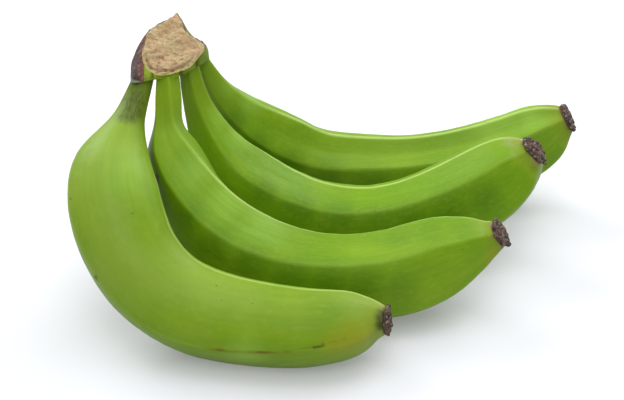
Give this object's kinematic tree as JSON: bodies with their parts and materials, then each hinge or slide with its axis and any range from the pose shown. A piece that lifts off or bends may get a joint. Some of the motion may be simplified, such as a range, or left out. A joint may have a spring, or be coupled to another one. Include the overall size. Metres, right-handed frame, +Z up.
{
  "type": "hand of plantains",
  "caption": "Hand of unripe green plantains, curved ridged fruits joined at one cut crown, lying on their bellies.",
  "frame": {"origin": "centre of the bounding box's base, on the surface the hand lies on", "axes": "+X along the fruits from the crown towards their blossom ends, +Y from the foremost fruit to the hindmost, +Z up"},
  "size_m": [0.2748, 0.2137, 0.1379],
  "materials": {
    "peel": "waxy, satin",
    "cut_tissue": "dry, fibrous",
    "dry_flower": "dry, rough"
  },
  "bodies": {
    "root": {"crown": "cut_tissue", "plantain_1": "peel", "plantain_2": "peel", "plantain_3": "peel", "plantain_4": "peel", "blossom_end_1": "dry_flower", "blossom_end_2": "dry_flower", "blossom_end_3": "dry_flower", "blossom_end_4": "dry_flower"}
  },
  "joints": []
}
